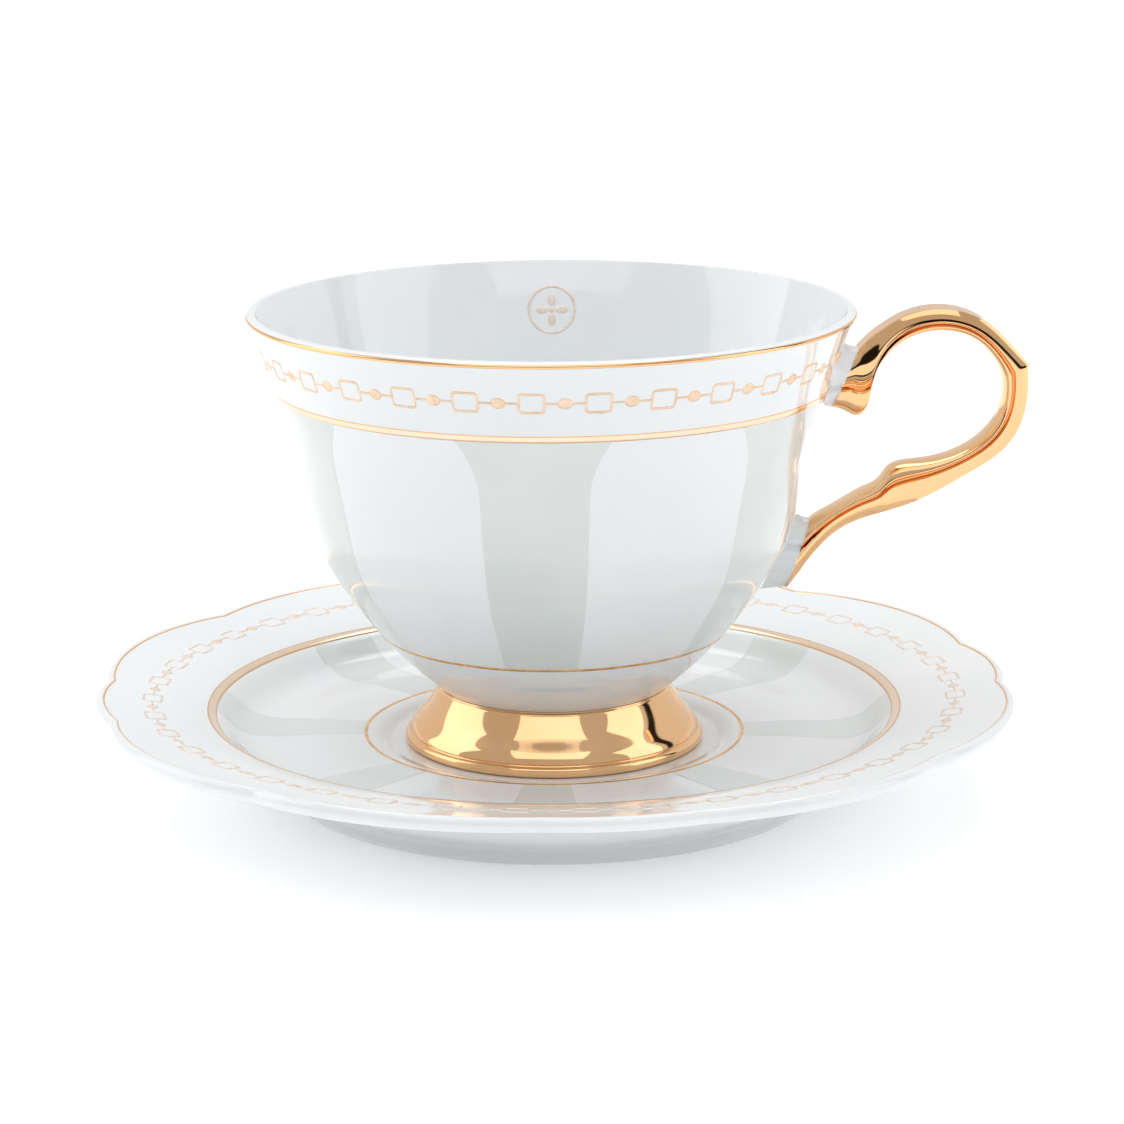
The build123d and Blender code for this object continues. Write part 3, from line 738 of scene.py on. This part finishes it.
# ---------------------------------------------------------------- the studio
def floor(name, half, shade, glow, far_glow):
    """The pale table top, which isn't part of the object and glows a little more far away."""
    mesh = bpy.data.meshes.new(name)
    corners = [(-half, -half, 0), (half, -half, 0), (half, half, 0), (-half, half, 0)]
    mesh.from_pydata(corners, [], [(0, 1, 2, 3)])
    card = bpy.data.objects.new(name, mesh)
    bpy.context.scene.collection.objects.link(card)
    paint = bpy.data.materials.new(name)
    paint.use_nodes = True
    shader = paint.node_tree.nodes["Principled BSDF"]
    shader.inputs["Base Color"].default_value = (*shade, 1)
    shader.inputs["Roughness"].default_value = 0.6
    shader.inputs["Specular IOR Level"].default_value = 0.2
    shader.inputs["Emission Color"].default_value = (1, 1, 1, 1)
    nodes, links = paint.node_tree.nodes, paint.node_tree.links
    place = nodes.new("ShaderNodeNewGeometry")
    distance = nodes.new("ShaderNodeVectorMath")
    distance.operation = "LENGTH"
    spread = nodes.new("ShaderNodeMapRange")
    for socket, value in (("From Min", 0.3), ("From Max", 1.4), ("To Min", glow), ("To Max", far_glow)):
        spread.inputs[socket].default_value = value
    links.new(place.outputs["Position"], distance.inputs[0])
    links.new(distance.outputs["Value"], spread.inputs["Value"])
    links.new(spread.outputs["Result"], shader.inputs["Emission Strength"])
    mesh.materials.append(paint)


floor("floor", 3.0, (0.93, 0.93, 0.93), 0.24, 0.60)


def softbox(name, size, centre, target, power):
    """A rectangular soft light that faces a target."""
    lamp = bpy.data.lights.new(name, "AREA")
    lamp.shape = "RECTANGLE"
    lamp.size, lamp.size_y = size
    lamp.energy = power
    light = bpy.data.objects.new(name, lamp)
    light.location = centre
    light.rotation_mode = "QUATERNION"
    light.rotation_quaternion = (Vector(target) - Vector(centre)).to_track_quat("-Z", "Y")
    bpy.context.scene.collection.objects.link(light)


CUP_MIDDLE = (0.0, 0.0, 0.045)
softbox("key_left", (0.7, 0.9), (-0.95, 0.15, 0.45), CUP_MIDDLE, 2.1)
softbox("fill_right", (0.6, 0.9), (0.95, -0.2, 0.45), CUP_MIDDLE, 1.6)
softbox("overhead", (1.0, 1.0), (0.0, 0.25, 1.1), CUP_MIDDLE, 5.2)
softbox("front_top", (0.9, 0.5), (-0.05, -0.6, 0.85), CUP_MIDDLE, 1.3)

world = bpy.data.worlds.new("studio_air")
bpy.context.scene.world = world
world.use_nodes = True
air = world.node_tree
backdrop = air.nodes["Background"]
direction = air.nodes.new("ShaderNodeTexCoord").outputs["Generated"]
split = air.nodes.new("ShaderNodeSeparateXYZ")
air.links.new(direction, split.inputs["Vector"])


def air_range(source, from_low, from_high):
    """A part of the studio's air, from 0 to 1 along one direction."""
    node = air.nodes.new("ShaderNodeMapRange")
    node.inputs["From Min"].default_value = from_low
    node.inputs["From Max"].default_value = from_high
    air.links.new(source, node.inputs["Value"])
    return node.outputs["Result"]


# The white air has dark gaps in front of the object and at its right, which gilding shows as dark lines.
DARK, PALE = (0.03, 0.025, 0.02, 1), (1.0, 1.0, 1.0, 1)


def gap_in(source, low, high, soft):
    """White, but for a dark gap between two values."""
    node = air.nodes.new("ShaderNodeValToRGB")
    stops = node.color_ramp.elements
    stops[0].position, stops[0].color = 0.0, PALE
    stops[1].position, stops[1].color = 1.0, PALE
    for position, shade in ((low - soft, PALE), (low, DARK), (high, DARK), (high + soft, PALE)):
        stops.new(position).color = shade
    air.links.new(source, node.inputs["Fac"])
    return node.outputs["Color"]


front = gap_in(air_range(split.outputs["Z"], -1.0, 1.0), 0.505, 0.575, 0.008)
blend = air.nodes.new("ShaderNodeMix")
blend.data_type = "RGBA"
air.links.new(air_range(split.outputs["Y"], -0.35, -0.15), blend.inputs["Factor"])
air.links.new(front, blend.inputs["A"])
side = gap_in(air_range(split.outputs["Y"], -1.0, 1.0), 0.60, 0.645, 0.015)
one_side = air.nodes.new("ShaderNodeMix")
one_side.data_type = "RGBA"
air.links.new(air_range(split.outputs["X"], 0.1, 0.2), one_side.inputs["Factor"])
one_side.inputs["A"].default_value = PALE
air.links.new(side, one_side.inputs["B"])
air.links.new(one_side.outputs["Result"], blend.inputs["B"])
air.links.new(blend.outputs["Result"], backdrop.inputs["Color"])
strength = air_range(split.outputs["Y"], -0.2, 0.4)
strength.node.inputs["To Min"].default_value = 0.58
strength.node.inputs["To Max"].default_value = 0.80
air.links.new(strength, backdrop.inputs["Strength"])

# ---------------------------------------------------------------- the camera
CAMERA_PLACE = (0.00149, -0.56763, 0.17803)
CAMERA_PITCH = radians(13.885)
CAMERA_ROLL = radians(0.363)
CAMERA_LENS = 112.9
camera_data = bpy.data.cameras.new("camera")
camera_data.lens = CAMERA_LENS
camera_data.sensor_width = 36.0
camera_data.clip_start = 0.01
camera = bpy.data.objects.new("camera", camera_data)
bpy.context.scene.collection.objects.link(camera)
level_right = Vector((1, 0, 0))
level_up = Vector((0, sin(CAMERA_PITCH), cos(CAMERA_PITCH)))
right = level_right * cos(CAMERA_ROLL) - level_up * sin(CAMERA_ROLL)
up = level_up * cos(CAMERA_ROLL) + level_right * sin(CAMERA_ROLL)
turn = Matrix((right, up, right.cross(up))).transposed().to_4x4()
camera.matrix_world = Matrix.Translation(CAMERA_PLACE) @ turn
bpy.context.scene.camera = camera
bpy.context.scene.view_settings.view_transform = "Standard"
